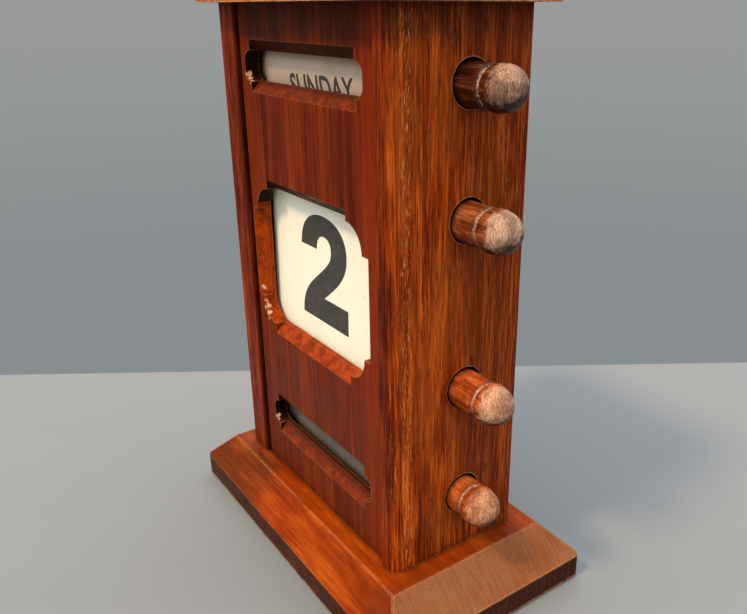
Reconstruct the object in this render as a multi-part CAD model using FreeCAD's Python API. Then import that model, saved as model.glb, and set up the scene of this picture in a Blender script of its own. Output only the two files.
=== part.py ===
import FreeCAD, Part
import math
import os

# Wooden perpetual desk calendar. A hollow case of two side boards, a front
# panel with three windows, and a screwed back stands on a bevelled plinth
# under an overhanging cap. Four rollers lie across the case, one above the
# other, and each ends in a turned knob that comes out of the right side.
# The top roller carries the weekdays, the bottom one the months, and the two
# between them wind a paper scroll of dates past the middle window.
# The case stands a little forward on the plinth. Its left board is thicker
# than its right one, so the space for the rollers lies right of the middle.
# Millimetres. Origin: on the underside, below the middle of the case. Front
# is -Y, knobs are on +X.

Vector = FreeCAD.Vector

# Case
CASE_WIDTH = 120.0
CASE_DEPTH = 57.5
CASE_HEIGHT = 199.0
LEFT_BOARD = 14.0
RIGHT_BOARD = 8.0
PANEL = 6.0
PANEL_RECESS = 2.0
GROOVE_DEPTH = 3.0
TONGUE_SHOULDER = 1.5
SHADOW_GAP = 1.0
BACK = 2.5
BACK_GAP = 0.3
LEFT_ROUND = 2.0
RIGHT_ROUND = 4.0
ARRIS = 0.8

# Plinth, baize under it, and cap
BAIZE = 0.8
BAIZE_INSET = 4.0
PLINTH_WIDTH = 164.0
PLINTH_DEPTH = 95.0
PLINTH_BEHIND = 2.25
PLINTH_EDGE = 10.5
PLINTH_HEIGHT = 24.0
PLINTH_END_BEVEL = 13.7
PLINTH_FRONT_BEVEL = 10.5
PLINTH_BACK_BEVEL = 13.2
CAP_OVERHANG = 7.0
CAP_HEIGHT = 12.0
CAP_EDGE = 9.0
CAP_BEVEL = 3.0
CORNER_ROUND = 3.0

# Windows: left and right ends, heights above the plinth, and corner radius.
# Each long straight edge has a stopped chamfer.
CHAMFER = 4.0
WEEKDAY_WINDOW = {"x": (-42.0, 43.4), "z": (170.3, 181.8), "corner": 4.5}
DATE_WINDOW = {"x": (-40.4, 40.4), "z": (70.5, 129.0), "corner": 10.0}
MONTH_WINDOW = {"x": (-38.0, 42.6), "z": (20.2, 31.7), "corner": 4.5}

# Rollers: where their axis and their middle lie, and what is common to all four
AXIS_Y = 3.25
ROLLER_MIDDLE = 3.0
ROLLER_HALF = 47.2
WEEKDAY_DRUM_RADIUS = 22.2
MONTH_DRUM_RADIUS = 20.7
CORE_RADIUS = 20.6
BAND = 0.3
UPPER_COIL_RADIUS = 20.9
LOWER_COIL_RADIUS = 22.0
PAPER_HALF = 46.0
PEG_RADIUS = 7.2
BULB_FOOT_RADIUS = 6.9
BULB_RADIUS = 7.6
DOME_RADIUS = 7.2
RING_DEPTH = 0.9
RING_WIDTH = 2.2
TENON_RADIUS = 5.0
TENON_LENGTH = 16.0
PIVOT_RADIUS = 2.0
PIVOT_LENGTH = 20.0
PIVOT_OUT = 10.0
PIVOT_CHAMFER = 0.3
PIVOT_CLEARANCE = 0.06
PIVOT_HOLE_DEPTH = 9.9
PEG_HOLE_RADIUS = 8.0
PEG_HOLE_RISE = 0.4

# Each roller by itself: height above the plinth, how far it has floated to
# the right, how far its knob stands out, and where the ring is scribed on it
ROLLERS = {
    "weekday": {"height": 174.7, "float": 0.0, "reach": 22.5, "ring": 10.0},
    "date_upper": {"height": 130.5, "float": 0.5, "reach": 23.3, "ring": 10.3},
    "date_lower": {"height": 68.5, "float": 1.2, "reach": 23.2, "ring": 12.0},
    "month": {"height": 23.4, "float": -1.2, "reach": 18.3, "ring": 6.4},
}
WEEKDAY_BAND_LEFT = -39.7
MONTH_BAND_LEFT = -37.4

# Front run of the date scroll
RUN = 0.3
RUN_CLEARANCE = 0.2
RUN_WRAP = math.radians(35)

# Blocks, dowels and screws
BLOCK_SIDE = 6.0
BLOCK_LENGTH = 12.0
BLOCK_HEIGHTS = (46.3, 151.2)
JOINT_Y = 15.0
DOWEL_RADIUS = 2.5
DOWEL_LENGTH = 20.0
DOWEL_IN_CAP = 7.0
WOOD_SCREW_RADIUS = 2.0
WOOD_SCREW_HEAD = 4.0
WOOD_SCREW_LENGTH = 38.0
WOOD_SCREW_SINK = 0.4
BACK_SCREW_RADIUS = 1.3
BACK_SCREW_HEAD = 2.8
BACK_SCREW_LENGTH = 7.5
SCREW_CLEARANCE = 0.2
DRIVER_SLOT = 0.8
DRILLED_BEYOND = 0.5

# Places that follow from the sizes above
CASE_X = CASE_WIDTH / 2
CASE_Y = CASE_DEPTH / 2
INNER_LEFT = -CASE_X + LEFT_BOARD
INNER_RIGHT = CASE_X - RIGHT_BOARD
FLOOR = PLINTH_HEIGHT
CEILING = PLINTH_HEIGHT + CASE_HEIGHT
PANEL_FRONT = -CASE_Y + PANEL_RECESS
PANEL_REAR = PANEL_FRONT + PANEL
BACK_FRONT = CASE_Y - BACK
BOARD_MIDDLES = (-CASE_X + LEFT_BOARD / 2, CASE_X - RIGHT_BOARD / 2)
BLOCK_X = (INNER_LEFT + BLOCK_SIDE / 2, INNER_RIGHT - BLOCK_SIDE / 2)
PAPER_LEFT = ROLLER_MIDDLE - PAPER_HALF
PAPER_RIGHT = ROLLER_MIDDLE + PAPER_HALF
BLOCK_Z = [FLOOR + height for height in BLOCK_HEIGHTS]
TINY = 1e-6


def box(x, y, z):
    """A box between three (low, high) pairs."""
    return Part.makeBox(x[1] - x[0], y[1] - y[0], z[1] - z[0], Vector(x[0], y[0], z[0]))


def rod_x(radius, x, height):
    """A cylinder on a roller's axis line, from x[0] to x[1]."""
    return Part.makeCylinder(radius, x[1] - x[0], Vector(x[0], AXIS_Y, height), Vector(1, 0, 0))


def rod_y(radius, x, z, y):
    """A cylinder from front to back at (x, z), from y[0] to y[1]."""
    return Part.makeCylinder(radius, y[1] - y[0], Vector(x, y[0], z), Vector(0, 1, 0))


def rod_z(radius, x, y, z):
    """An upright cylinder at (x, y), from z[0] to z[1]."""
    return Part.makeCylinder(radius, z[1] - z[0], Vector(x, y, z[0]), Vector(0, 0, 1))


def prism(points, direction):
    """A solid swept from a closed outline along a direction."""
    return Part.Face(Part.makePolygon(points + [points[0]])).extrude(direction)


def upright_edges(shape, x, y):
    """The edges of shape that stand upright at (x, y)."""
    found = []
    for edge in shape.Edges:
        reach = edge.BoundBox
        upright = reach.XLength < TINY and reach.YLength < TINY
        if upright and abs(reach.XMin - x) < TINY and abs(reach.YMin - y) < TINY:
            found.append(edge)
    return found


def axis_height(name):
    """Height of a roller's axis above the underside."""
    return FLOOR + ROLLERS[name]["height"]


def joint_places():
    """The four (x, y) places where a side board is pinned at its ends."""
    return [(x, y) for x in BOARD_MIDDLES for y in (-JOINT_Y, JOINT_Y)]


def block_places():
    """The four (x, z) places of the corner blocks and the back's screws."""
    return [(x, z) for x in BLOCK_X for z in BLOCK_Z]


def is_arris(edge, z_low):
    """Whether an edge of a block is a sharp one above its underside."""
    reach = edge.BoundBox
    upright = reach.XLength < TINY and reach.YLength < TINY
    return reach.ZMax > z_low + TINY and not upright


def bevelled_block(half_x, half_y, end_bevel, front_bevel, back_bevel, z_low, z_edge, z_high):
    """A block with an upright edge and a sloping bevel on all four sides."""
    over = half_x + half_y

    def outline(half, low_bevel, high_bevel):
        return [(-half, z_low), (half, z_low), (half, z_edge),
                (half - high_bevel, z_high), (low_bevel - half, z_high), (-half, z_edge)]

    ends = outline(half_x, end_bevel, end_bevel)
    sides = outline(half_y, front_bevel, back_bevel)
    along_y = prism([Vector(a, -over, z) for a, z in ends], Vector(0, 2 * over, 0))
    along_x = prism([Vector(-over, a, z) for a, z in sides], Vector(2 * over, 0, 0))
    plan = box((-half_x, half_x), (-half_y, half_y), (z_low, z_high))
    corners = [edge for x in (-half_x, half_x) for y in (-half_y, half_y)
               for edge in upright_edges(plan, x, y)]
    block = along_y.common(along_x).common(plan.makeFillet(CORNER_ROUND, corners))
    smooth = [edge for edge in block.Edges if is_arris(edge, z_low)]
    return block.makeFillet(ARRIS, smooth)


def wood_screw(x, y):
    """A slotted countersunk wood screw that points up into a board."""
    head_z = BAIZE + WOOD_SCREW_SINK
    neck_z = head_z + WOOD_SCREW_HEAD - WOOD_SCREW_RADIUS
    tip_z = head_z + WOOD_SCREW_LENGTH
    profile = [Vector(0, 0, head_z), Vector(WOOD_SCREW_HEAD, 0, head_z),
               Vector(WOOD_SCREW_RADIUS, 0, neck_z),
               Vector(WOOD_SCREW_RADIUS, 0, tip_z - 2 * WOOD_SCREW_RADIUS), Vector(0, 0, tip_z)]
    face = Part.Face(Part.makePolygon(profile + [profile[0]]))
    screw = face.revolve(Vector(0, 0, 0), Vector(0, 0, 1), 360)
    slot = box((-WOOD_SCREW_HEAD, WOOD_SCREW_HEAD), (-DRIVER_SLOT / 2, DRIVER_SLOT / 2),
               (head_z, head_z + DRIVER_SLOT))
    screw = screw.cut(slot)
    screw.translate(Vector(x, y, 0))
    return screw


def base_plinth():
    plinth = bevelled_block(PLINTH_WIDTH / 2, PLINTH_DEPTH / 2, PLINTH_END_BEVEL, PLINTH_FRONT_BEVEL,
                            PLINTH_BACK_BEVEL, BAIZE, PLINTH_EDGE, PLINTH_HEIGHT)
    plinth.translate(Vector(0, PLINTH_BEHIND, 0))
    head_z = BAIZE + WOOD_SCREW_SINK
    cone = WOOD_SCREW_HEAD - WOOD_SCREW_RADIUS
    for x, y in joint_places():
        plinth = plinth.cut(rod_z(WOOD_SCREW_RADIUS + SCREW_CLEARANCE, x, y, (0, FLOOR + 1)))
        plinth = plinth.cut(rod_z(WOOD_SCREW_HEAD, x, y, (0, head_z)))
        sink = Part.makeCone(WOOD_SCREW_HEAD, WOOD_SCREW_RADIUS, cone, Vector(x, y, head_z))
        plinth = plinth.cut(sink)
    return plinth


def base_baize():
    half_x = PLINTH_WIDTH / 2 - BAIZE_INSET
    half_y = PLINTH_DEPTH / 2 - BAIZE_INSET
    return box((-half_x, half_x), (PLINTH_BEHIND - half_y, PLINTH_BEHIND + half_y), (0, BAIZE))


def base_screws():
    return Part.makeCompound([wood_screw(x, y) for x, y in joint_places()])


def side_board(side, inner, front_round):
    """A side board: side is -1 for the left one and 1 for the right one."""
    outer = side * CASE_X
    board = box(sorted((inner, outer)), (-CASE_Y, CASE_Y), (FLOOR, CEILING))
    board = board.makeFillet(front_round, upright_edges(board, outer, -CASE_Y))
    board = board.makeFillet(ARRIS, upright_edges(board, outer, CASE_Y))
    board = board.makeFillet(ARRIS, upright_edges(board, inner, -CASE_Y))
    groove_x = sorted((inner - side, inner + side * GROOVE_DEPTH))
    groove_y = (PANEL_FRONT + TONGUE_SHOULDER, PANEL_REAR)
    board = board.cut(box(groove_x, groove_y, (FLOOR - 1, CEILING + 1)))
    screw_end = BAIZE + WOOD_SCREW_SINK + WOOD_SCREW_LENGTH
    dowel_end = CEILING + DOWEL_IN_CAP - DOWEL_LENGTH
    for x, y in joint_places():
        board = board.cut(rod_z(WOOD_SCREW_RADIUS, x, y, (FLOOR - 1, screw_end)))
        board = board.cut(rod_z(DOWEL_RADIUS, x, y, (dowel_end - DRILLED_BEYOND, CEILING + 1)))
    return board


def left_side_board():
    board = side_board(-1, INNER_LEFT, LEFT_ROUND)
    for name in ROLLERS:
        hole_x = (INNER_LEFT - PIVOT_HOLE_DEPTH, INNER_LEFT + 1)
        board = board.cut(rod_x(PIVOT_RADIUS + PIVOT_CLEARANCE, hole_x, axis_height(name)))
    return board


def right_side_board():
    board = side_board(1, INNER_RIGHT, RIGHT_ROUND)
    for name in ROLLERS:
        hole_x = (INNER_RIGHT - 1, CASE_X + 1)
        board = board.cut(rod_x(PEG_HOLE_RADIUS, hole_x, axis_height(name) + PEG_HOLE_RISE))
    return board


def window(facts):
    """What a window removes: the opening, and a stopped chamfer on each long straight edge."""
    x_low, x_high = facts["x"]
    z_low, z_high = [FLOOR + z for z in facts["z"]]
    corner = facts["corner"]
    opening = box((x_low, x_high), (PANEL_FRONT - 1, PANEL_REAR + 1), (z_low, z_high))
    across = [edge for edge in opening.Edges
              if edge.BoundBox.XLength < TINY and edge.BoundBox.ZLength < TINY]
    opening = opening.makeFillet(corner, across)
    straight_x = x_high - x_low - 2 * corner
    for z, way in ((z_high, 1), (z_low, -1)):
        wedge = [Vector(x_low + corner, PANEL_FRONT - 1, z + way * (CHAMFER + 1)),
                 Vector(x_low + corner, PANEL_FRONT + CHAMFER, z),
                 Vector(x_low + corner, PANEL_FRONT - 1, z - way)]
        opening = opening.fuse(prism(wedge, Vector(straight_x, 0, 0)))
    straight_z = z_high - z_low - 2 * corner
    sides = ((x_low, -1), (x_high, 1)) if straight_z > CHAMFER else ()
    for x, way in sides:
        wedge = [Vector(x + way * (CHAMFER + 1), PANEL_FRONT - 1, z_low + corner),
                 Vector(x, PANEL_FRONT + CHAMFER, z_low + corner),
                 Vector(x - way, PANEL_FRONT - 1, z_low + corner)]
        opening = opening.fuse(prism(wedge, Vector(0, 0, straight_z)))
    return opening


def front_panel():
    """The panel and its bare-faced tongues, with a narrow shadow gap beside each board."""
    tongue = (INNER_LEFT - GROOVE_DEPTH, INNER_RIGHT + GROOVE_DEPTH)
    face = (INNER_LEFT + SHADOW_GAP, INNER_RIGHT - SHADOW_GAP)
    height = (FLOOR, CEILING)
    panel = box(tongue, (PANEL_FRONT + TONGUE_SHOULDER, PANEL_REAR), height)
    panel = panel.fuse(box(face, (PANEL_FRONT, PANEL_REAR), height)).removeSplitter()
    for facts in (WEEKDAY_WINDOW, DATE_WINDOW, MONTH_WINDOW):
        panel = panel.cut(window(facts))
    return panel


def back_panel():
    width = (INNER_LEFT + BACK_GAP, INNER_RIGHT - BACK_GAP)
    panel = box(width, (BACK_FRONT, CASE_Y), (FLOOR + BACK_GAP, CEILING - BACK_GAP))
    for x, z in block_places():
        panel = panel.cut(rod_y(BACK_SCREW_RADIUS + SCREW_CLEARANCE, x, z, (BACK_FRONT - 1, CASE_Y + 1)))
    return panel


def glue_blocks():
    blocks = []
    depth = BACK_SCREW_LENGTH - BACK
    for x, z in block_places():
        block = box((x - BLOCK_SIDE / 2, x + BLOCK_SIDE / 2), (BACK_FRONT - BLOCK_SIDE, BACK_FRONT),
                    (z - BLOCK_LENGTH / 2, z + BLOCK_LENGTH / 2))
        blocks.append(block.cut(rod_y(BACK_SCREW_RADIUS, x, z, (BACK_FRONT - depth, BACK_FRONT))))
    return Part.makeCompound(blocks)


def back_panel_screws():
    """Slotted round-head screws that hold the back to the corner blocks."""
    screws = []
    for x, z in block_places():
        shank = rod_y(BACK_SCREW_RADIUS, x, z, (CASE_Y - BACK_SCREW_LENGTH, CASE_Y))
        ball = Part.makeSphere(BACK_SCREW_HEAD, Vector(x, CASE_Y, z))
        wide = (x - 2 * BACK_SCREW_HEAD, x + 2 * BACK_SCREW_HEAD)
        behind = (CASE_Y, CASE_Y + 2 * BACK_SCREW_HEAD)
        outside = box(wide, behind, (z - 2 * BACK_SCREW_HEAD, z + 2 * BACK_SCREW_HEAD))
        slot = box(wide, (CASE_Y + BACK_SCREW_HEAD - DRIVER_SLOT, behind[1]),
                   (z - DRIVER_SLOT / 2, z + DRIVER_SLOT / 2))
        screws.append(ball.common(outside).cut(slot).fuse(shank))
    return Part.makeCompound(screws)


def top_cap():
    cap = bevelled_block(CASE_X + CAP_OVERHANG, CASE_Y + CAP_OVERHANG, CAP_BEVEL, CAP_BEVEL, CAP_BEVEL,
                         CEILING, CEILING + CAP_EDGE, CEILING + CAP_HEIGHT)
    for x, y in joint_places():
        cap = cap.cut(rod_z(DOWEL_RADIUS, x, y, (CEILING - 1, CEILING + DOWEL_IN_CAP + DRILLED_BEYOND)))
    return cap


def cap_dowels():
    high = CEILING + DOWEL_IN_CAP
    span = (high - DOWEL_LENGTH, high)
    return Part.makeCompound([rod_z(DOWEL_RADIUS, x, y, span) for x, y in joint_places()])


def roller_span(name):
    """Left and right ends of a drum or core."""
    middle = ROLLER_MIDDLE + ROLLERS[name]["float"]
    return (middle - ROLLER_HALF, middle + ROLLER_HALF)


def roller_body(name, radius):
    """A drum or core, bored for its spindle at the right and its pin at the left."""
    left, right = roller_span(name)
    height = axis_height(name)
    body = rod_x(radius, (left, right), height)
    body = body.cut(rod_x(TENON_RADIUS, (right - TENON_LENGTH - DRILLED_BEYOND, right + 1), height))
    return body.cut(rod_x(PIVOT_RADIUS, (left - 1, left + PIVOT_LENGTH - PIVOT_OUT), height))


def paper_sleeve(name, inner, outer, left):
    """Paper round a drum or core, from its left end to the papers' common right end."""
    height = axis_height(name)
    return rod_x(outer, (left, PAPER_RIGHT), height).cut(rod_x(inner, (left - 1, PAPER_RIGHT + 1), height))


def spindle(name):
    """Tenon, peg, scribed ring, and a swelling, domed knob, turned from one stick."""
    facts = ROLLERS[name]
    right = roller_span(name)[1]
    height = axis_height(name)
    tip = CASE_X + facts["reach"]
    dome_x = tip - DOME_RADIUS
    ring_x = CASE_X + facts["ring"]
    tenon_x = right - TENON_LENGTH

    def at(x, radius):
        return Vector(x, AXIS_Y + radius, height)

    lower = [at(tenon_x, 0), at(tenon_x, TENON_RADIUS), at(right, TENON_RADIUS), at(right, PEG_RADIUS),
             at(ring_x - RING_WIDTH / 2, PEG_RADIUS)]
    ring_low = at(ring_x, PEG_RADIUS - RING_DEPTH)
    bulb_foot = at(ring_x + RING_WIDTH / 2, BULB_FOOT_RADIUS)
    bulb_side = at((ring_x + RING_WIDTH / 2 + dome_x) / 2, BULB_RADIUS)
    dome_foot = at(dome_x, DOME_RADIUS)
    dome_side = at(dome_x + DOME_RADIUS * math.sin(math.pi / 4), DOME_RADIUS * math.cos(math.pi / 4))
    edges = [Part.makeLine(a, b) for a, b in zip(lower, lower[1:])]
    edges.append(Part.Arc(lower[-1], ring_low, bulb_foot).toShape())
    edges.append(Part.Arc(bulb_foot, bulb_side, dome_foot).toShape())
    edges.append(Part.Arc(dome_foot, dome_side, at(tip, 0)).toShape())
    edges.append(Part.makeLine(at(tip, 0), lower[0]))
    face = Part.Face(Part.Wire(edges))
    return face.revolve(Vector(0, AXIS_Y, height), Vector(1, 0, 0), 360)


def pivot_pin(name):
    """The metal pin that carries a roller's left end in the left board."""
    left = roller_span(name)[0]
    pin = rod_x(PIVOT_RADIUS, (left - PIVOT_OUT, left - PIVOT_OUT + PIVOT_LENGTH), axis_height(name))
    ends = [edge for edge in pin.Edges if edge.BoundBox.XLength < TINY]
    return pin.makeChamfer(PIVOT_CHAMFER, ends)


def date_scroll_front():
    """The run of paper between the two date rollers, curling back a little over each coil."""
    upper_z = axis_height("date_upper")
    lower_z = axis_height("date_lower")
    tilt = math.asin((LOWER_COIL_RADIUS - UPPER_COIL_RADIUS) / (upper_z - lower_z))

    def on_coil(radius, z, angle):
        return Vector(PAPER_LEFT, AXIS_Y - radius * math.cos(angle), z + radius * math.sin(angle))

    def path(gap):
        upper = UPPER_COIL_RADIUS + gap
        lower = LOWER_COIL_RADIUS + gap
        return [on_coil(upper, upper_z, RUN_WRAP), on_coil(upper, upper_z, RUN_WRAP / 2),
                on_coil(upper, upper_z, tilt), on_coil(lower, lower_z, tilt),
                on_coil(lower, lower_z, -RUN_WRAP / 2), on_coil(lower, lower_z, -RUN_WRAP)]

    inner = path(RUN_CLEARANCE)
    outer = path(RUN_CLEARANCE + RUN)
    edges = []
    for side in (inner, outer):
        edges.append(Part.Arc(side[0], side[1], side[2]).toShape())
        edges.append(Part.makeLine(side[2], side[3]))
        edges.append(Part.Arc(side[3], side[4], side[5]).toShape())
    edges.append(Part.makeLine(inner[0], outer[0]))
    edges.append(Part.makeLine(inner[5], outer[5]))
    outline = Part.Wire(Part.__sortEdges__(edges))
    return Part.Face(outline).extrude(Vector(2 * PAPER_HALF, 0, 0))


def build():
    """Every sub-part by node name."""
    parts = {
        "base_plinth": base_plinth(),
        "base_baize": base_baize(),
        "base_screws": base_screws(),
        "left_side_board": left_side_board(),
        "right_side_board": right_side_board(),
        "front_panel": front_panel(),
        "back_panel": back_panel(),
        "back_panel_screws": back_panel_screws(),
        "glue_blocks": glue_blocks(),
        "top_cap": top_cap(),
        "cap_dowels": cap_dowels(),
        "date_scroll_front": date_scroll_front(),
        "weekday_drum": roller_body("weekday", WEEKDAY_DRUM_RADIUS),
        "month_drum": roller_body("month", MONTH_DRUM_RADIUS),
        "date_upper_core": roller_body("date_upper", CORE_RADIUS),
        "date_lower_core": roller_body("date_lower", CORE_RADIUS),
        "weekday_band": paper_sleeve("weekday", WEEKDAY_DRUM_RADIUS, WEEKDAY_DRUM_RADIUS + BAND,
                                     WEEKDAY_BAND_LEFT),
        "month_band": paper_sleeve("month", MONTH_DRUM_RADIUS, MONTH_DRUM_RADIUS + BAND,
                                   MONTH_BAND_LEFT),
        "date_upper_coil": paper_sleeve("date_upper", CORE_RADIUS, UPPER_COIL_RADIUS, PAPER_LEFT),
        "date_lower_coil": paper_sleeve("date_lower", CORE_RADIUS, LOWER_COIL_RADIUS, PAPER_LEFT),
    }
    for name in ROLLERS:
        parts[name + "_spindle"] = spindle(name)
        parts[name + "_pivot_pin"] = pivot_pin(name)
    return parts


os.makedirs("parts", exist_ok=True)
for node, shape in build().items():
    shape.exportStep(os.path.join("parts", node + ".step"))
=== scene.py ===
import math

import bmesh
import bpy
from mathutils import Matrix, Vector


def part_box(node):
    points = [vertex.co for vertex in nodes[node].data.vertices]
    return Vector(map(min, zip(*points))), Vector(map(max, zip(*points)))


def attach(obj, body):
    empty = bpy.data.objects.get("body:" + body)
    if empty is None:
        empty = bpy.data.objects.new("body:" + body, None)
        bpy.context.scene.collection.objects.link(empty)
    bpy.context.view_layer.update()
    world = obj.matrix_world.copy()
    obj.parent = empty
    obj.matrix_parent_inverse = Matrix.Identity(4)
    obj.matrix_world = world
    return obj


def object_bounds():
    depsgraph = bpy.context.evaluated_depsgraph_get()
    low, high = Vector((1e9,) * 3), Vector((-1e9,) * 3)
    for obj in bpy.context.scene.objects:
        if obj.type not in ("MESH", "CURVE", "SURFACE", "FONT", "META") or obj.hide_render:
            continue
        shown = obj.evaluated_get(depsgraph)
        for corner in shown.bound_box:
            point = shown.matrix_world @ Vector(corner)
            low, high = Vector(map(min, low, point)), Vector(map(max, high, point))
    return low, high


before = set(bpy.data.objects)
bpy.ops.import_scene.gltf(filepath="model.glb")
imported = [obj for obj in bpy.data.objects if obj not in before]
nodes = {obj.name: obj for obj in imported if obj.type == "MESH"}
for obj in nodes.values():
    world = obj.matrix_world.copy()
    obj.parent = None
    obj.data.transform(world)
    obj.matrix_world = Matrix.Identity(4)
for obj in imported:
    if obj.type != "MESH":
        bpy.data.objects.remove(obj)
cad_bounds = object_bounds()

# A varnished wooden perpetual desk calendar, in metres, in the CAD frame:
# front -Y, knobs +X, up +Z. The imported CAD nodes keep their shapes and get
# procedural finishes; the printing on the papers is added here.

MM = 0.001

# Chips in the varnish at the windows' lower left corners: across, above the panel's foot, and radius, in mm
WINDOW_CHIPS = ((-41.4, 173.0, 1.2), (-40.2, 171.2, 1.1), (-38.4, 170.0, 0.9), (-40.4, 78.0, 1.0),
                (-39.6, 75.2, 1.4), (-38.2, 73.0, 1.4), (-36.4, 71.2, 1.2), (-42.6, 83.5, 1.2),
                (-37.2, 22.6, 1.0), (-36.0, 21.0, 0.9))


# ---------------------------------------------------------------- node trees

def new_material(name):
    """A fresh material with an empty tree and its Principled shader wired to the output."""
    material = bpy.data.materials.new(name)
    material.use_nodes = True
    tree = material.node_tree
    tree.nodes.clear()
    output = tree.nodes.new("ShaderNodeOutputMaterial")
    shader = tree.nodes.new("ShaderNodeBsdfPrincipled")
    tree.links.new(shader.outputs["BSDF"], output.inputs["Surface"])
    return material, tree, shader


def feed(tree, socket, value):
    """Puts a constant, or another node's output, into a socket."""
    if isinstance(value, bpy.types.NodeSocket):
        tree.links.new(value, socket)
    else:
        socket.default_value = value


def add(tree, kind, settings=(), **inputs):
    """A node with its settings and inputs; an underscore in an input's name is a space."""
    node = tree.nodes.new("ShaderNode" + kind)
    for key, value in dict(settings).items():
        setattr(node, key, value)
    for key, value in inputs.items():
        feed(tree, node.inputs[key.replace("_", " ")], value)
    return node


def calc(tree, operation, a, b=0.0, clamp=False):
    """One step of arithmetic on two numbers."""
    node = tree.nodes.new("ShaderNodeMath")
    node.operation = operation
    node.use_clamp = clamp
    feed(tree, node.inputs[0], a)
    feed(tree, node.inputs[1], b)
    return node.outputs[0]


def product(tree, *factors):
    """All factors multiplied together."""
    total = factors[0]
    for factor in factors[1:]:
        total = calc(tree, "MULTIPLY", total, factor)
    return total


def total_of(tree, *terms):
    """All terms added together."""
    total = terms[0]
    for term in terms[1:]:
        total = calc(tree, "ADD", total, term)
    return total


def largest(tree, *values):
    """The largest of the values."""
    total = values[0]
    for value in values[1:]:
        total = calc(tree, "MAXIMUM", total, value)
    return total


def inverse(tree, mask):
    """1 where a mask is 0, and 0 where it is 1."""
    return calc(tree, "SUBTRACT", 1.0, mask)


def span(tree, value, low, high, start=0.0, end=1.0):
    """Maps value smoothly from low..high to start..end and holds it there outside."""
    node = add(tree, "MapRange", {"interpolation_type": "SMOOTHSTEP"}, Value=value,
               From_Min=low, From_Max=high, To_Min=start, To_Max=end)
    return node.outputs["Result"]


def blend(tree, factor, a, b, mode="MIX"):
    """Mixes colour b over colour a."""
    node = tree.nodes.new("ShaderNodeMix")
    node.data_type = "RGBA"
    node.blend_type = mode
    feed(tree, node.inputs["Factor"], factor)
    feed(tree, node.inputs[6], a)
    feed(tree, node.inputs[7], b)
    return node.outputs[2]


def ramp(tree, value, stops):
    """A colour ramp through (position, colour) stops."""
    node = add(tree, "ValToRGB", Fac=value)
    elements = node.color_ramp.elements
    while len(elements) < len(stops):
        elements.new(0.5)
    for element, (position, colour) in zip(elements, stops):
        element.position = position
        element.color = colour
    return node.outputs["Color"]


def colour(red, green, blue):
    """A linear colour from 0-255 display values."""
    def linear(level):
        level = level / 255
        return level / 12.92 if level <= 0.04045 else ((level + 0.055) / 1.055) ** 2.4
    return (linear(red), linear(green), linear(blue), 1.0)


def between(a, b, part):
    """The colour part of the way from a to b."""
    return tuple((1 - part) * low + part * high for low, high in zip(a, b))


def millimetres(tree, shift=(0.0, 0.0, 0.0)):
    """Object coordinates in millimetres, moved by shift so that pieces differ."""
    source = add(tree, "TexCoord").outputs["Object"]
    scale = (1 / MM, 1 / MM, 1 / MM)
    return add(tree, "Mapping", Vector=source, Scale=scale, Location=shift).outputs["Vector"]


def axis_of(tree, coords, axis):
    """One coordinate of a place, or one component of a normal."""
    return add(tree, "SeparateXYZ", Vector=coords).outputs[axis]


def away_from(tree, coords, axis, middle):
    """How far a place lies from middle along an axis, either way."""
    return calc(tree, "ABSOLUTE", calc(tree, "SUBTRACT", axis_of(tree, coords, axis), middle))


def stretched(tree, coords, along, stretch):
    """Coordinates squeezed along the grain, so that noise draws out into fibres."""
    scale = [1.0, 1.0, 1.0]
    scale["XYZ".index(along)] = 1.0 / stretch
    node = add(tree, "VectorMath", {"operation": "MULTIPLY"})
    feed(tree, node.inputs[0], coords)
    feed(tree, node.inputs[1], scale)
    return node.outputs["Vector"]


def noise(tree, coords, size, detail=2.0, roughness=0.5, distortion=0.0):
    """Noise whose blotches are about size millimetres across."""
    node = add(tree, "TexNoise", Vector=coords, Scale=1.0 / size, Detail=detail,
               Roughness=roughness, Distortion=distortion)
    return node.outputs["Fac"]


def flat_normal(tree, axis):
    """How far a face points along an axis."""
    return axis_of(tree, add(tree, "NewGeometry").outputs["True Normal"], axis)


def facing(tree, axis, low, high):
    """0 to 1 as a face turns towards an axis."""
    return span(tree, flat_normal(tree, axis), low, high)


def corner_shade_mask(tree, distance, low, high):
    """Painted shade: up to the corner shade depth in corners that are closed in over distance mm, and 0 on
    open faces.
    """
    node = add(tree, "AmbientOcclusion", {"samples": 6, "only_local": False}, Distance=distance * MM)
    return span(tree, node.outputs["AO"], low, high, PAINTED_SHADE_DEPTH, 0.0)


def edge_mask(tree, radius, low, high):
    """1 along sharp edges and 0 on open faces, from how far a normal rounded over radius mm turns away."""
    rounded = add(tree, "Bevel", {"samples": 6}, Radius=radius * MM).outputs["Normal"]
    flat = add(tree, "NewGeometry").outputs["Normal"]
    dot = add(tree, "VectorMath", {"operation": "DOT_PRODUCT"})
    feed(tree, dot.inputs[0], rounded)
    feed(tree, dot.inputs[1], flat)
    return span(tree, inverse(tree, dot.outputs["Value"]), low, high)


def bump(tree, height, depth, under=None):
    """Relief of depth millimetres from a 0-1 height."""
    node = add(tree, "Bump", Height=height, Strength=1.0, Distance=depth * MM)
    if under is not None:
        feed(tree, node.inputs["Normal"], under)
    return node.outputs["Normal"]


# ----------------------------------------------------------------- materials

# Pale worn wood; along arrises it also stands as painted highlights
WORN_AND_HIGHLIGHT_WOOD = colour(224, 160, 104)
CHIPPED_WOOD = colour(222, 176, 140)
FILLER = colour(222, 150, 88)
PALE_WOOD = colour(250, 226, 206)
RING_FILLER = colour(214, 184, 160)
# Dark red of the line along the left board's joint, partly stain and partly painted shade
SEAM = colour(66, 12, 3)
# Near-black colour of the painted shade in corners, on undersides and on the deep window walls
PAINTED_SHADE = (0.010, 0.004, 0.002, 1.0)
BLACK = (0.0, 0.0, 0.0, 1.0)
# How deep the painted shade in closed-in corners goes, and the strength of the varnish's reflection
PAINTED_SHADE_DEPTH = 0.8
VARNISH_SHINE = 0.05
# The Y of a face's normal from where it begins to count as facing front, to where it does in full
TO_FRONT = (-0.80, -0.97)


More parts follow.
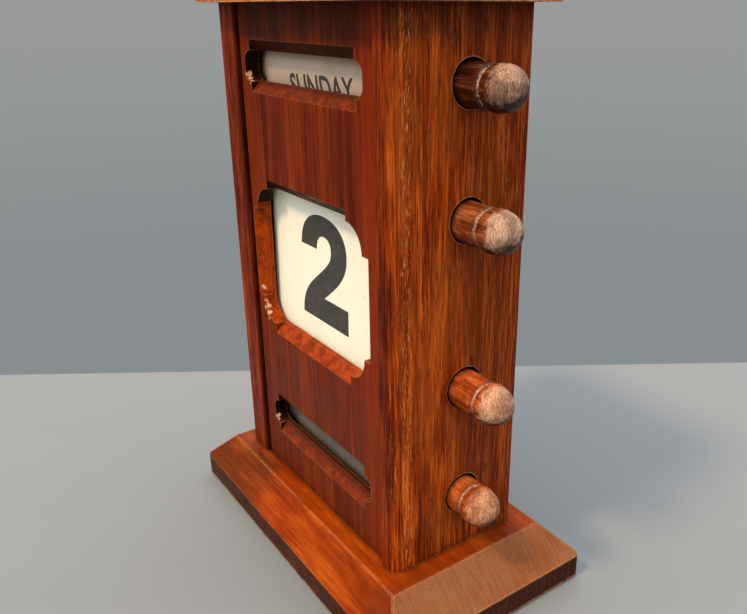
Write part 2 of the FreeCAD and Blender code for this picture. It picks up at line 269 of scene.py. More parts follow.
def grain(tree, place, along, *layers):
    """Streaks along the grain, around 0.5. Each layer is (width in mm, stretch, weight)."""
    total = 0.5
    for width, stretch, weight in layers:
        streaks = noise(tree, stretched(tree, place, along, stretch), width, 3, 0.6)
        total = calc(tree, "ADD", total, product(tree, calc(tree, "SUBTRACT", streaks, 0.5), weight))
    return total


def dashes(tree, place, along, width, stretch, low, high):
    """Short lines along the grain, 1 inside them."""
    return span(tree, noise(tree, stretched(tree, place, along, stretch), width, 1, 0.5), low, high)


def chips(tree, plain, ragged, places):
    """1 inside ragged spots, each given as (x, y, z, radius) in mm."""
    total = 0.0
    for x, y, z, radius in places:
        gap = add(tree, "VectorMath", {"operation": "DISTANCE"})
        feed(tree, gap.inputs[0], plain)
        feed(tree, gap.inputs[1], (x, y, z))
        reach = calc(tree, "ADD", gap.outputs["Value"], span(tree, ragged, 0.3, 0.7, -0.9, 0.9))
        total = calc(tree, "MAXIMUM", total, span(tree, reach, radius, radius - 0.5))
    return total


def zone_tints(tree, tone, place, plain, along, streaks, zones):
    """Tints parts of a board. Each zone is (axis, 0 from mm, 1 from mm, colour, strength)."""
    wander = noise(tree, stretched(tree, place, along, 8), 9, 2)
    drift = span(tree, wander, 0.3, 0.7, -2.5, 2.5)
    for axis, clear, full, tint, strength in zones:
        at = calc(tree, "ADD", axis_of(tree, plain, axis), drift)
        held = span(tree, streaks, 0.2, 0.8, strength, 0.6 * strength)
        tone = blend(tree, product(tree, span(tree, at, clear, full), held), tone, tint)
    return tone


def face_tints(tree, tone, place, patches, aspects):
    """Tints faces by how far they point along an axis, either way, with saw marks across them.

    Each aspect is (axis, 0 from, 1 from, colour, strength)."""
    sawn = noise(tree, stretched(tree, stretched(tree, place, "X", 12), "Z", 12), 0.9, 3, 0.65)
    marks = total_of(tree, product(tree, sawn, 0.6), product(tree, patches, 0.4))
    for axis, clear, full, tint, strength in aspects:
        toward = calc(tree, "ABSOLUTE", flat_normal(tree, axis))
        held = span(tree, marks, 0.40, 0.62, strength, 0.5 * strength)
        tone = blend(tree, product(tree, span(tree, toward, clear, full), held), tone, tint)
    return tone


def window_walls(tree, tone, place, plain, cut_tone, low, high, mouth):
    """The walls and chamfers of the windows. Between heights low and high they are fresh orange wood.

    Elsewhere less of that orange shows. Painted shade darkens walls that face down, and outside that band
    also walls that don't face up, walls that face +X, and walls the deeper they lie behind mouth; mottled
    dark patches lie on all the walls. All are in mm."""
    fresh = 0.9
    aside = inverse(tree, facing(tree, "Y", *TO_FRONT))
    height = axis_of(tree, plain, "Z")
    inside = product(tree, span(tree, height, low - 1, low), span(tree, height, high + 1, high))
    outside = inverse(tree, inside)
    rough_cut = span(tree, noise(tree, place, 1.6, 4, 0.7), 0.3, 0.6, 0.35, 1.0)
    bare = product(tree, aside, rough_cut, span(tree, inside, 0.0, 1.0, 0.3 * fresh, fresh))
    tone = blend(tree, bare, tone, cut_tone)
    lowered = product(tree, aside, facing(tree, "Z", 0.5, -0.1), outside)
    underside = product(tree, largest(tree, lowered, facing(tree, "Z", -0.2, -0.6)), 0.80)
    depth = span(tree, axis_of(tree, plain, "Y"), mouth + 0.8, mouth + 4.5, 0.0, 0.75)
    deep = product(tree, aside, depth, outside)
    mottled = product(tree, aside, span(tree, noise(tree, place, 5, 3, 0.6), 0.42, 0.62, 0.0, 0.45))
    end_wall = product(tree, facing(tree, "X", 0.1, 0.5), outside, 0.97)
    # Painted shade on down-turned, +X-facing and deep walls, with mottled dark patches
    return blend(tree, largest(tree, underside, deep, mottled, end_wall), tone, PAINTED_SHADE)


def filled_pores(tree, tone, place, plain, along, amount, band, open_side):
    """Short pale dashes of filler, in loose crowds and thick in a band (axis, middle mm, half width mm)."""
    crowd = span(tree, noise(tree, stretched(tree, place, along, 3), 7, 2), 0.45, 0.65, 0.03, 0.28)
    axis, middle, half = band
    off = away_from(tree, plain, axis, middle)
    crowd = largest(tree, crowd, span(tree, off, half * 1.4, half * 0.4, 0.0, 0.95))
    light = product(tree, dashes(tree, place, along, 0.36, 9, 0.60, 0.68), crowd, open_side)
    return blend(tree, calc(tree, "MULTIPLY", light, amount, True), tone, FILLER)


def varnish(tree, shader, place, along, gloss, pores, worn_and_highlit):
    """Smeared old varnish over wood fibres. Pores lie deeper, and worn parts are rougher and lower."""
    smear = span(tree, noise(tree, place, 9, 4, 0.6), 0.35, 0.7, 0.0, 0.2)
    rough = calc(tree, "ADD", calc(tree, "ADD", gloss, smear), product(tree, worn_and_highlit, 0.3), clamp=True)
    feed(tree, shader.inputs["Roughness"], rough)
    shader.inputs["Specular IOR Level"].default_value = VARNISH_SHINE
    fibres = noise(tree, stretched(tree, place, along, 45), 0.5, 3, 0.7)
    cut = total_of(tree, product(tree, pores, -0.8), product(tree, worn_and_highlit, -0.6))
    relief = total_of(tree, product(tree, fibres, 0.5), cut)
    ripple = bump(tree, noise(tree, place, 7, 2), 0.10)
    feed(tree, shader.inputs["Normal"], bump(tree, relief, 0.07, ripple))


def wood(name, along, stops, shift, layers, pore=0.5, highlit_wear=0.7, highlit_worn_edge=(1.1, 0.02, 0.28), gloss=0.34,
         zones=(), aspects=(), seam=None, blotch=None, front=None, flecks=None, walls=None, spots=()):
    """Varnished open-grained hardwood, with streaks, pores, worn arrises that also stand as painted
    highlights, dull spots, and painted shade in closed-in corners.

    layers go to grain(), zones to zone_tints(), aspects to face_tints(), highlit_worn_edge to edge_mask(),
    walls to window_walls(), spots to chips(), and flecks to filled_pores() as its amount and band. seam is
    a dark line along a joint, partly stain and partly painted shade, as (axis, middle mm, half width mm).
    blotch is the tone of broad patches. front holds other stops for faces to -Y."""
    material, tree, shader = new_material(name)
    place = millimetres(tree, shift)
    plain = millimetres(tree)
    streaks = grain(tree, place, along, *layers)
    patches = noise(tree, stretched(tree, place, along, 2.5), 22, 3, 0.6)
    tone = ramp(tree, streaks, stops)
    if blotch is not None:
        tone = blend(tree, span(tree, patches, 0.42, 0.62, 0.0, 0.42), tone, blotch)
    tone = zone_tints(tree, tone, place, plain, along, streaks, zones)
    tone = face_tints(tree, tone, place, patches, aspects)
    if front is not None:
        tone = blend(tree, facing(tree, "Y", *TO_FRONT), tone, ramp(tree, streaks, front))
    if walls is not None:
        tone = window_walls(tree, tone, place, plain, *walls)
    pores = dashes(tree, place, along, 0.5, 14, 0.58, 0.70)
    tone = blend(tree, product(tree, pores, pore), tone, blend(tree, 0.8, tone, BLACK))
    if flecks is not None:
        open_side = inverse(tree, facing(tree, "Y", *TO_FRONT))
        tone = filled_pores(tree, tone, place, plain, along, *flecks, open_side)
    # A dark line along a joint, partly stain built up there and partly painted shade
    if seam is not None:
        axis, middle, half = seam
        off = away_from(tree, plain, axis, middle)
        tone = blend(tree, span(tree, off, half, half * 0.5, 0.0, 0.85), tone, SEAM)
    rubbed = noise(tree, stretched(tree, place, along, 3), 2.0, 4, 0.68)
    # Pale worn arrises, which also stand as painted highlights along the edges
    worn_and_highlit = product(tree, edge_mask(tree, *highlit_worn_edge), span(tree, rubbed, 0.38, 0.56, 0.30, 1.0), highlit_wear)
    tone = blend(tree, worn_and_highlit, tone, WORN_AND_HIGHLIGHT_WOOD)
    if spots:
        chipped = chips(tree, plain, rubbed, spots)
        tone = blend(tree, chipped, tone, CHIPPED_WOOD)
        worn_and_highlit = largest(tree, worn_and_highlit, chipped)
    # Painted shade in closed-in corners
    tone = blend(tree, corner_shade_mask(tree, 4, 0.30, 0.85), tone, PAINTED_SHADE)
    feed(tree, shader.inputs["Base Color"], tone)
    varnish(tree, shader, place, along, gloss, pores, worn_and_highlit)
    return material


def turned_wood(name, ring_mm, dome_mm, peg, dome, shift):
    """A knob's wood: varnished peg, a ragged pale line in the ring, and a dome worn bare on its upper side,
    with painted shade below.

    ring_mm and dome_mm are where the ring and the dome are along X. peg and dome are the tones of the
    varnished and the bare wood. Streaks and scratches turn with the knob. The painted shade on the
    underside, and the pale bare wood on the dome's upper side, which is partly wear and partly painted
    light, stay where they are in the world, as they come from how a surface faces."""
    material, tree, shader = new_material(name)
    place = millimetres(tree, shift)
    x = axis_of(tree, millimetres(tree), "X")
    faces = add(tree, "NewGeometry").outputs["Normal"]
    rise = calc(tree, "SUBTRACT", axis_of(tree, faces, "Z"), product(tree, axis_of(tree, faces, "Y"), 0.45))
    ragged = noise(tree, place, 2.6, 4, 0.7)
    up = total_of(tree, product(tree, rise, DOME), span(tree, ragged, 0.25, 0.75, -2.0, 2.0))
    streaks = grain(tree, place, "X", (4, 8, 1.0), (1.4, 14, 1.0), (0.5, 12, 0.9))
    shade = between(peg, BLACK, 0.72)
    tone = ramp(tree, streaks, [(0.25, shade), (0.52, peg), (0.8, between(peg, WORN_AND_HIGHLIGHT_WOOD, 0.25))])
    scratched = noise(tree, stretched(tree, place, "Z", 5), 0.45, 3, 0.7)
    bare = ramp(tree, scratched, [(0.3, between(dome, BLACK, 0.65)), (0.5, dome),
                                  (0.68, between(dome, PALE_WOOD, 0.45))])
    edge = calc(tree, "ADD", x, span(tree, ragged, 0.25, 0.75, -1.3, 1.3))
    # Painted light: the dome shows its pale bare wood mostly on the side facing up and to the front
    lit_side = span(tree, up, -4.5, 0.5, 0.12, 1.0)
    worn_and_highlit = product(tree, span(tree, edge, dome_mm - 1.0, dome_mm + 0.8), lit_side)
    tone = blend(tree, worn_and_highlit, tone, bare)
    cloudy = noise(tree, place, 5.0, 3, 0.6)
    tone = blend(tree, span(tree, cloudy, 0.40, 0.62, 0.0, 0.55), tone, shade)
    # Painted shade on the underside, fixed below in the world
    tone = blend(tree, span(tree, up, 1.0, -4.0, 0.0, 0.92), tone, PAINTED_SHADE)
    off_ring = calc(tree, "ABSOLUTE", calc(tree, "SUBTRACT", x, ring_mm))
    speckle = span(tree, noise(tree, place, 0.9, 3, 0.75), 0.44, 0.56)
    ring = product(tree, span(tree, off_ring, 0.15, 0.75, 1.0, 0.0), speckle)
    tone = blend(tree, product(tree, ring, 0.85), tone, RING_FILLER)
    # Painted shade in closed-in corners
    tone = blend(tree, corner_shade_mask(tree, 3, 0.35, 0.9), tone, PAINTED_SHADE)
    feed(tree, shader.inputs["Base Color"], tone)
    rough = calc(tree, "ADD", 0.30, product(tree, largest(tree, worn_and_highlit, ring), 0.25))
    feed(tree, shader.inputs["Roughness"], rough)
    shader.inputs["Specular IOR Level"].default_value = 0.25
    relief = total_of(tree, product(tree, streaks, 0.6), product(tree, scratched, 0.4))
    feed(tree, shader.inputs["Normal"], bump(tree, relief, 0.08, bump(tree, ragged, 0.12)))
    return material


def paper(name, base, edge_tone, shift, age=0.4):
    """Old cartridge paper: faint fibres, foxing and handling marks."""
    material, tree, shader = new_material(name)
    place = millimetres(tree, shift)
    clouds = noise(tree, place, 16, 4, 0.6)
    fibre = noise(tree, place, 0.5, 3, 0.7)
    foxing = noise(tree, place, 3.4, 3, 0.6)
    tone = blend(tree, span(tree, clouds, 0.4, 0.75, 0.0, age), base, edge_tone)
    tone = blend(tree, span(tree, fibre, 0.3, 0.75, 0.0, 0.10), tone, edge_tone)
    tone = blend(tree, span(tree, foxing, 0.66, 0.78, 0.0, 0.35), tone, colour(196, 160, 116))
    feed(tree, shader.inputs["Base Color"], tone)
    feed(tree, shader.inputs["Roughness"], span(tree, fibre, 0.3, 0.7, 0.7, 0.9))
    shader.inputs["Specular IOR Level"].default_value = 0.25
    feed(tree, shader.inputs["Normal"], bump(tree, fibre, 0.015, bump(tree, clouds, 0.06)))
    return material


def printing_ink(name, base, seed):
    """Printer's ink a little thin and mottled over the paper's tooth."""
    material, tree, shader = new_material(name)
    place = millimetres(tree, (seed, seed, seed))
    tooth = noise(tree, place, 0.35, 3, 0.7)
    clouds = noise(tree, place, 6.0, 3, 0.6)
    tone = blend(tree, span(tree, tooth, 0.55, 0.8, 0.0, 0.35), base, colour(120, 112, 102))
    tone = blend(tree, span(tree, clouds, 0.4, 0.7, 0.0, 0.25), tone, colour(96, 90, 86))
    feed(tree, shader.inputs["Base Color"], tone)
    feed(tree, shader.inputs["Roughness"], span(tree, tooth, 0.3, 0.7, 0.5, 0.7))
    feed(tree, shader.inputs["Normal"], bump(tree, tooth, 0.01))
    return material


def metal(name, base, dull, roughness):
    """Old plated or brass screw metal with tarnish in blotches and fine turning marks."""
    material, tree, shader = new_material(name)
    place = millimetres(tree)
    tarnish = noise(tree, place, 1.6, 4, 0.65)
    marks = noise(tree, stretched(tree, place, "X", 0.2), 0.3, 2, 0.6)
    feed(tree, shader.inputs["Base Color"], blend(tree, span(tree, tarnish, 0.4, 0.65), base, dull))
    shader.inputs["Metallic"].default_value = 1.0
    feed(tree, shader.inputs["Roughness"], span(tree, tarnish, 0.35, 0.7, roughness, roughness + 0.25))
    feed(tree, shader.inputs["Normal"], bump(tree, marks, 0.01))
    return material


def baize(name):
    """Green felted baize with short matted nap."""
    material, tree, shader = new_material(name)
    place = millimetres(tree)
    nap = noise(tree, place, 0.4, 4, 0.8)
    patches = noise(tree, place, 9, 3, 0.6)
    tone = ramp(tree, nap, [(0.3, colour(22, 52, 34)), (0.7, colour(58, 104, 72))])
    tone = blend(tree, span(tree, patches, 0.4, 0.7, 0.0, 0.4), tone, colour(70, 92, 66))
    feed(tree, shader.inputs["Base Color"], tone)
    shader.inputs["Roughness"].default_value = 0.95
    shader.inputs["Sheen Weight"].default_value = 0.4
    feed(tree, shader.inputs["Normal"], bump(tree, nap, 0.15))
    return material


PANEL_STOPS = [(0.15, colour(56, 17, 7)), (0.50, colour(108, 36, 9)), (0.85, colour(150, 56, 14))]
FRONT_STOPS = [(0.15, colour(62, 18, 6)), (0.50, colour(116, 38, 9)), (0.85, colour(158, 62, 18))]
CASE_STOPS = [(0.15, colour(70, 24, 5)), (0.50, colour(150, 51, 9)), (0.85, colour(220, 102, 26))]
PLINTH_STOPS = [(0.12, colour(84, 24, 2)), (0.50, colour(146, 53, 4)), (0.88, colour(184, 88, 16))]
BACK_STOPS = [(0.22, colour(70, 30, 12)), (0.50, colour(108, 52, 24)), (0.78, colour(146, 80, 40))]
RAW_STOPS = [(0.22, colour(160, 114, 70)), (0.50, colour(198, 156, 106)), (0.78, colour(224, 188, 142))]
# Worn arrises of the moulded pieces, which also stand as painted highlights: radius in mm, and from and to
# which turn of the surface they show
MOULDING_EDGE = (1.6, 0.012, 0.07)
MOULDING_LAYERS = ((14, 3, 1.0), (4, 5, 0.7), (0.9, 30, 0.5))
# Heights above the panel's foot, in mm, between which the walls of the windows are fresh wood
FRESH_WALLS = (62, 121)


def painted_cap_shadow():
    """A painted shadow: a dark zone under the cap, where the cap's shadow falls."""
    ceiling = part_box("front_panel")[1].z / MM
    return ("Z", ceiling - 16, ceiling - 8, colour(56, 28, 15), 0.75)


def panel_wood():
    """Dark red wood, brighter at its sides, brown low down, and chipped at the windows, with a painted
    shadow under the cap and painted shade on the windows' walls.
    """
    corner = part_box("front_panel")[0] / MM
    walls = (colour(176, 66, 8), corner.z + FRESH_WALLS[0], corner.z + FRESH_WALLS[1], corner.y)
    chipped = [(x, corner.y + 1, corner.z + z, size) for x, z, size in WINDOW_CHIPS]
    zones = (painted_cap_shadow(),
             ("X", 36, 46, colour(130, 36, 8), 0.6),
             ("X", -36, -43, colour(122, 40, 8), 0.5),
             ("Z", 96, 70, colour(92, 44, 28), 0.45))
    return wood("varnished_panel", "Z", PANEL_STOPS, (11, 5, 40),
                ((9, 14, 0.9), (2.4, 50, 0.8), (0.8, 60, 0.6)),
                pore=0.3, highlit_wear=0.4, zones=zones, walls=walls, spots=chipped)


def side_wood():
    """Orange-brown wood with a red front edge, a band of filled pores behind it, a dark rear half, a
    painted shadow under the cap, and a dark line at the left board's joint that is partly stain and partly
    painted shade.
    """
    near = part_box("right_side_board")[0].y / MM
    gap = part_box("left_side_board")[1].x / MM
    return wood("varnished_side", "Z", CASE_STOPS, (31, 7, 12),
                ((9, 9, 0.9), (2.2, 22, 1.1), (0.7, 24, 1.6)),
                pore=0.6, highlit_wear=0.9, front=FRONT_STOPS, blotch=colour(180, 84, 22),
                zones=(painted_cap_shadow(), ("Y", -8, 10, colour(92, 34, 9), 0.8)),
                flecks=(0.75, ("Y", near + 6.5, 2.4)), seam=("X", gap, 1.3))


def plinth_wood():
    """Orange wood, browner at both ends, with tan end bevels that are partly end-grain tone and partly
    painted sheen, and dark lower edges.
    """
    return wood("varnished_plinth", "X", PLINTH_STOPS, (3, 60, 9), MOULDING_LAYERS,
                pore=0.2, highlit_wear=0.9, gloss=0.3, highlit_worn_edge=MOULDING_EDGE,
                zones=(("X", -22, -36, colour(84, 38, 13), 0.85),
                       ("X", 58, 66, colour(112, 42, 12), 0.75)),
                # Tan on faces turned to either end: partly end-grain tone and partly painted sheen
                aspects=(("X", 0.3, 0.6, colour(146, 93, 58), 0.95),
                         ("Z", 0.35, 0.1, colour(62, 27, 14), 1.6)))


def dress(name, material):
    """Gives a CAD node one material."""
    mesh = nodes[name].data
    mesh.materials.clear()
    mesh.materials.append(material)


def dress_case():
    dress("front_panel", panel_wood())
    side = side_wood()
    dress("left_side_board", side)
    dress("right_side_board", side)
    dress("base_plinth", plinth_wood())
    dress("top_cap", wood("varnished_cap", "X", PLINTH_STOPS, (43, 20, 5), MOULDING_LAYERS,
                          pore=0.2, highlit_wear=0.9, gloss=0.3, highlit_worn_edge=MOULDING_EDGE))
    dress("back_panel", wood("back_board", "Z", BACK_STOPS, (90, 20, 70),
                             ((10, 12, 1.0), (2.6, 40, 0.8), (0.8, 40, 0.6)),
                             pore=0.6, highlit_wear=0.5, gloss=0.5))
    raw = wood("bare_wood", "X", RAW_STOPS, (5, 80, 33), ((6, 14, 1.0), (1.6, 40, 0.7)),
               pore=0.3, highlit_wear=0.2, gloss=0.6)
    for name in ("glue_blocks", "cap_dowels", "weekday_drum", "month_drum", "date_upper_core",
                 "date_lower_core"):
        dress(name, raw)


def dress_fittings():
    steel = metal("screw_steel", colour(150, 148, 144), colour(84, 74, 66), 0.35)
    brass = metal("screw_brass", colour(206, 160, 84), colour(116, 82, 44), 0.28)
    dress("base_screws", steel)
    dress("back_panel_screws", brass)
    for name in ROLLERS:
        dress(name + "_pivot_pin", steel)
    dress("base_baize", baize("green_baize"))


def dress_papers():
    cream = paper("date_paper", colour(253, 249, 228), colour(242, 230, 196), (7, 7, 7), 0.25)
    # The weekday paper's beige is partly the paper's own age and partly painted shade
    beige = paper("weekday_paper", colour(206, 182, 160), colour(178, 152, 128), (27, 3, 9), 0.5)
    # The month paper's grey is painted shade: paper darkened for the shade it lies in
    grey = paper("month_paper", colour(124, 113, 105), colour(90, 82, 76), (47, 13, 2), 0.5)
    for name in ("date_scroll_front", "date_upper_coil", "date_lower_coil"):
        dress(name, cream)
    dress("weekday_band", beige)
    dress("month_band", grey)


# -------------------------------------------------------------------- rollers

ROLLERS = ("weekday", "date_upper", "date_lower", "month")
# In mm: where each knob's scribed ring is, and how long its dome is
RING_FROM_BOARD = {"weekday": 10.0, "date_upper": 10.3, "date_lower": 12.0, "month": 6.4}
DOME = 7.2
# Tones of the varnished peg and the worn dome
KNOB_TONES = {
    "weekday": (colour(92, 34, 14), colour(166, 120, 92)),
    "date_upper": (colour(148, 72, 34), colour(192, 146, 116)),
    "date_lower": (colour(180, 78, 26), colour(200, 144, 104)),
    "month": (colour(182, 82, 26), colour(194, 126, 82)),
}


def roller_axis(name):
    """(y, z) of a roller's axis, from its pivot pin."""
    low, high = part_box(name + "_pivot_pin")
    return (low.y + high.y) / 2, (low.z + high.z) / 2


def dress_knobs():
    board_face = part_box("right_side_board")[1].x / MM
    for index, name in enumerate(ROLLERS):
        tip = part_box(name + "_spindle")[1].x / MM
        peg, dome = KNOB_TONES[name]
        material = turned_wood(name + "_knob_wood", board_face + RING_FROM_BOARD[name], tip - DOME,
                               peg, dome, (index * 17.0, index * 5.0, index * 3.0))
        dress(name + "_spindle", material)


# ------------------------------------------------------------------- printing

# How far the printing's faces lie above and below the paper's surface
INK_ABOVE = 0.03 * MM
INK_BELOW = -0.02 * MM
# In mm: the numeral's left edge, and its foot above the plinth
NUMERAL_LEFT = -18.4
NUMERAL_FOOT = 79.0
WEEKDAYS = ("SUNDAY", "MONDAY", "TUESDAY", "WEDNESDAY", "THURSDAY", "FRIDAY", "SATURDAY")
MONTHS = ("JANUARY", "FEBRUARY", "MARCH", "APRIL", "MAY", "JUNE", "JULY", "AUGUST",
          "SEPTEMBER", "OCTOBER", "NOVEMBER", "DECEMBER")


def bezier(start, a, b, end, steps=10):
    """Points along a cubic curve, without its last point."""
    points = []
    for i in range(steps):
        t = i / steps
        s = 1 - t
        weights = (s ** 3, 3 * s * s * t, 3 * s * t * t, t ** 3)
        points.append(tuple(sum(weight * point[k] for weight, point in zip(weights, (start, a, b, end)))
                            for k in (0, 1)))
    return points


def numeral_two():
    """Outline of a bold 2 in millimetres, from its lower left corner."""
    head_left, head_right, notch = (0, 29.6), (35.0, 30.8), (12.5, 29.6)
    neck, heel, waist, hollow = (17.6, 10.3), (0.0, 0.0), (15.6, 21.0), (23.4, 30.6)
    outline = bezier(head_left, (0.2, 38.5), (6.5, 43.8), (17.0, 43.8))
    outline += bezier((17.0, 43.8), (28.0, 43.8), (35.0, 39.0), head_right)
    outline += bezier(head_right, (35.0, 22.5), (26.5, 17.0), neck)
    outline += [neck, (35.5, neck[1]), (35.5, 0.0)]
    outline += bezier(heel, (0.0, 11.0), (8.0, 15.0), waist)
    outline += bezier(waist, (20.5, 24.7), (23.4, 27.0), hollow)
    outline += bezier(hollow, (23.4, 34.0), (21.2, 35.7), (18.0, 35.7))
    outline += bezier((18.0, 35.7), (14.5, 35.7), (12.5, 33.6), notch)
    outline.append(notch)
    return outline


def sheet_from_faces(mesh_data, place):
    """Turns flat faces into a closed thin sheet. place(x, y, lift) gives a point's position."""
    source = bmesh.new()
    source.from_mesh(mesh_data)
    bmesh.ops.remove_doubles(source, verts=source.verts, dist=1e-7)
    result = bmesh.new()
    top = {v: result.verts.new(place(v.co.x, v.co.y, INK_ABOVE)) for v in source.verts}
    low = {v: result.verts.new(place(v.co.x, v.co.y, INK_BELOW)) for v in source.verts}
    for face in source.faces:
        result.faces.new([top[v] for v in face.verts])
        result.faces.new([low[v] for v in reversed(face.verts)])
    for edge in source.edges:
        if len(edge.link_faces) == 1:
            loop = edge.link_loops[0]
            a = loop.vert
            b = loop.link_loop_next.vert
            result.faces.new([top[b], top[a], low[a], low[b]])
    bmesh.ops.recalc_face_normals(result, faces=result.faces)
    source.free()
    return result


def piece_from(bm, name, material, body):
    """A finished piece that rides on a body."""
    mesh = bpy.data.meshes.new(name)
    bm.to_mesh(mesh)
    bm.free()
    mesh.materials.append(material)
    obj = bpy.data.objects.new(name, mesh)
    bpy.context.scene.collection.objects.link(obj)
    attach(obj, body)
    return obj


def print_date(ink):
    """The numeral on the front run of the scroll, which leans a little with the paper."""
    lower_z = roller_axis("date_lower")[1]
    upper_z = roller_axis("date_upper")[1]
    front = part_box("date_scroll_front")[0].y
    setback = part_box("date_upper_coil")[0].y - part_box("date_lower_coil")[0].y
    lean = setback / (upper_z - lower_z)
    left = NUMERAL_LEFT * MM
    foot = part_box("base_plinth")[1].z + NUMERAL_FOOT * MM
    flat = bmesh.new()
    flat.faces.new([flat.verts.new((x * MM, y * MM, 0)) for x, y in reversed(numeral_two())])
    flat.normal_update()
    bmesh.ops.triangulate(flat, faces=flat.faces)
    mesh = bpy.data.meshes.new("numeral_flat")
    flat.to_mesh(mesh)
    flat.free()

    def place(x, y, lift):
        z = foot + y
        return (left + x, front + (z - lower_z) * lean - lift, z)

    piece_from(sheet_from_faces(mesh, place), "date_numeral", ink, "case")
    bpy.data.meshes.remove(mesh)


WORD_STRIPS = 8


def word_mesh(text, width, height, weight):
    """Flat faces of a word, centred, width by height, in strips so that it can bend round a drum."""
    curve = bpy.data.curves.new("word", "FONT")
    curve.body = text
    curve.offset = weight
    curve.resolution_u = 4
    obj = bpy.data.objects.new("word", curve)
    mesh = bpy.data.meshes.new_from_object(obj)
    bpy.data.objects.remove(obj)
    bpy.data.curves.remove(curve)
    bm = bmesh.new()
    bm.from_mesh(mesh)
    xs = [v.co.x for v in bm.verts]
    ys = [v.co.y for v in bm.verts]
    middle = Vector(((min(xs) + max(xs)) / 2, (min(ys) + max(ys)) / 2, 0))
    bmesh.ops.translate(bm, verts=bm.verts, vec=-middle)
    scale = (width / (max(xs) - min(xs)), height / (max(ys) - min(ys)), 1)
    bmesh.ops.scale(bm, verts=bm.verts, vec=scale)
    for i in range(1, WORD_STRIPS):
        level = height * (i / WORD_STRIPS - 0.5)
        geometry = bm.verts[:] + bm.edges[:] + bm.faces[:]
        bmesh.ops.bisect_plane(bm, geom=geometry, plane_co=(0, level, 0), plane_no=(0, 1, 0), dist=1e-7)
    bm.to_mesh(mesh)
    bm.free()
    return mesh


def print_round(names, roller, ink, first_angle, sectors, letter, height, weight, middle, tilt):
    """Names printed one below the other round a drum.

    first_angle is in radians above the front, and sectors is how many names would fill the drum. letter
    is the width of one letter, weight its boldness, middle the names' middle in X, and tilt their lean."""
    axis_y, axis_z = roller_axis(roller)
    low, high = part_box(roller + "_band")
    radius = (high.z - low.z) / 2
    for index, text in enumerate(names):
        angle = first_angle - index * math.tau / sectors
        mesh = word_mesh(text, letter * len(text), height, weight)

        def place(x, y, lift):
            turn = angle + (y * math.cos(tilt) + x * math.sin(tilt)) / radius
            reach = radius + lift
            return (middle + x * math.cos(tilt) - y * math.sin(tilt),
                    axis_y - reach * math.cos(turn), axis_z + reach * math.sin(turn))

        name = roller + "_name_" + text.lower()
        piece_from(sheet_from_faces(mesh, place), name, ink, roller + "_roller")
        bpy.data.meshes.remove(mesh)


def print_papers():
    date_ink = printing_ink("date_ink", colour(58, 54, 52), 3.0)
    name_ink = printing_ink("name_ink", colour(66, 58, 52), 9.0)
    print_date(date_ink)
    print_round(WEEKDAYS, "weekday", name_ink, math.radians(-10.9), len(WEEKDAYS),
                7.57 * MM, 9.0 * MM, 0.02, 3.1 * MM, math.radians(1.4))
    sectors = len(MONTHS) + 1
    blank_lap = math.radians(-10)
    print_round(MONTHS, "month", name_ink, blank_lap - math.tau / sectors, sectors,
                4.9 * MM, 5.5 * MM, 0.03, 2.5 * MM, 0.0)


# ---------------------------------------------------------------------- stage

TABLE_AWAY = Vector((-0.829, 0.559, 0))
TABLE_SIDEWAYS = Vector((0.559, 0.829, 0))


def table_top():
    """A plain pale table top. Its far edge lies across the camera's view, a little past the calendar."""
    far = TABLE_AWAY * 0.157
    near = TABLE_AWAY * -2.0
    wide = TABLE_SIDEWAYS * 1.6
    corners = [far - wide, far + wide, near + wide, near - wide]
    mesh = bpy.data.meshes.new("table_top")
    mesh.from_pydata(corners, [], [(0, 1, 2, 3)])
    floor = bpy.data.objects.new("table_top", mesh)
    bpy.context.scene.collection.objects.link(floor)
    material, tree, shader = new_material("table_paint")
    place = millimetres(tree)
    cloud = noise(tree, place, 60, 3, 0.5)
    tone = blend(tree, cloud, colour(126, 128, 129), colour(131, 132, 133))
    feed(tree, shader.inputs["Base Color"], tone)
    shader.inputs["Roughness"].default_value = 0.6
    mesh.materials.append(material)


SKY = (0.88, 0.94, 1.0, 1.0)
LAMPLIGHT = (1.0, 0.74, 0.42)


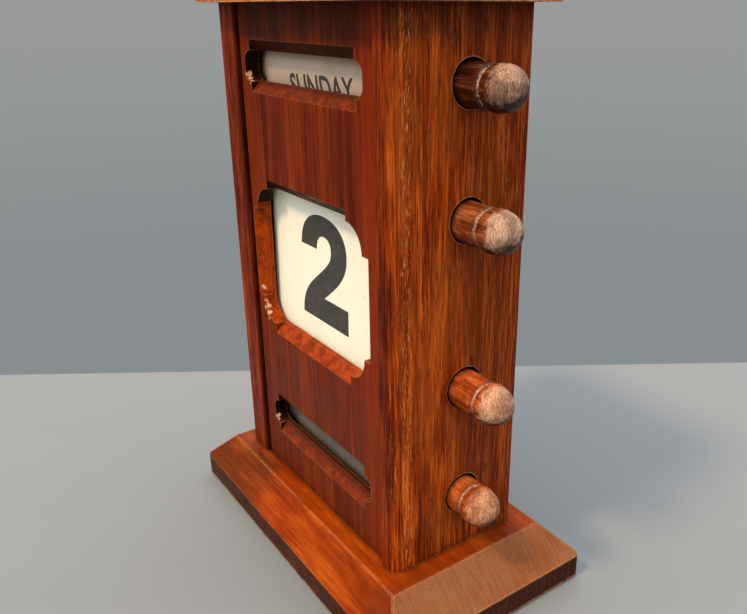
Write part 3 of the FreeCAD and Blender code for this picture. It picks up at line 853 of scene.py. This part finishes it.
def world_light():
    """Cool, even room light: bright overhead and dim at eye level, where the camera sees a grey wall."""
    world = bpy.data.worlds.new("room")
    bpy.context.scene.world = world
    world.use_nodes = True
    tree = world.node_tree
    tree.nodes.clear()
    output = tree.nodes.new("ShaderNodeOutputWorld")
    background = tree.nodes.new("ShaderNodeBackground")
    tree.links.new(background.outputs["Background"], output.inputs["Surface"])
    direction = add(tree, "TexCoord").outputs["Generated"]
    up = axis_of(tree, direction, "Z")
    light = span(tree, up, 0.0, 0.6, 0.2, 1.6)
    seen = add(tree, "LightPath").outputs["Is Camera Ray"]
    wall = blend(tree, span(tree, up, -0.30, -0.02), colour(136, 141, 143), colour(152, 154, 154))
    feed(tree, background.inputs["Color"], blend(tree, seen, SKY, wall))
    strength = calc(tree, "ADD", product(tree, light, inverse(tree, seen)), seen)
    feed(tree, background.inputs["Strength"], strength)


def ceiling_lamp():
    """Warm light from the front and above, with a soft shadow behind the calendar."""
    data = bpy.data.lights.new("ceiling_lamp", "SUN")
    data.energy = 2.3
    data.color = LAMPLIGHT
    data.angle = math.radians(9)
    obj = bpy.data.objects.new("ceiling_lamp", data)
    bpy.context.scene.collection.objects.link(obj)
    elevation = math.radians(56)
    shine = Vector((0, math.cos(elevation), -math.sin(elevation)))
    obj.location = (cad_bounds[0] + cad_bounds[1]) / 2 - shine
    obj.rotation_euler = shine.to_track_quat("-Z", "Y").to_euler()


CAMERA_PLACE = (0.2465, -0.1546, 0.2205)
CAMERA_TOWARDS = (-0.7512, 0.5550, -0.3574)
CAMERA_ROLL = -0.00227


def camera():
    """The eye a little below the cap, right of the front, looking down. The picture is cut off-centre."""
    data = bpy.data.cameras.new("camera")
    data.sensor_width = 36.0
    data.lens = 36.37
    data.shift_x = -0.0623
    data.shift_y = -0.0114
    data.clip_start = 0.01
    data.clip_end = 20.0
    obj = bpy.data.objects.new("camera", data)
    bpy.context.scene.collection.objects.link(obj)
    forward = Vector(CAMERA_TOWARDS).normalized()
    level = forward.cross(Vector((0, 0, 1))).normalized()
    right = Matrix.Rotation(CAMERA_ROLL, 3, forward) @ level
    up = right.cross(forward)
    turn = Matrix((right, up, -forward)).transposed()
    obj.matrix_world = Matrix.Translation(CAMERA_PLACE) @ turn.to_4x4()
    bpy.context.scene.camera = obj


bpy.context.scene.view_settings.view_transform = "Standard"
dress_case()
dress_fittings()
dress_papers()
dress_knobs()
print_papers()
table_top()
world_light()
ceiling_lamp()
camera()
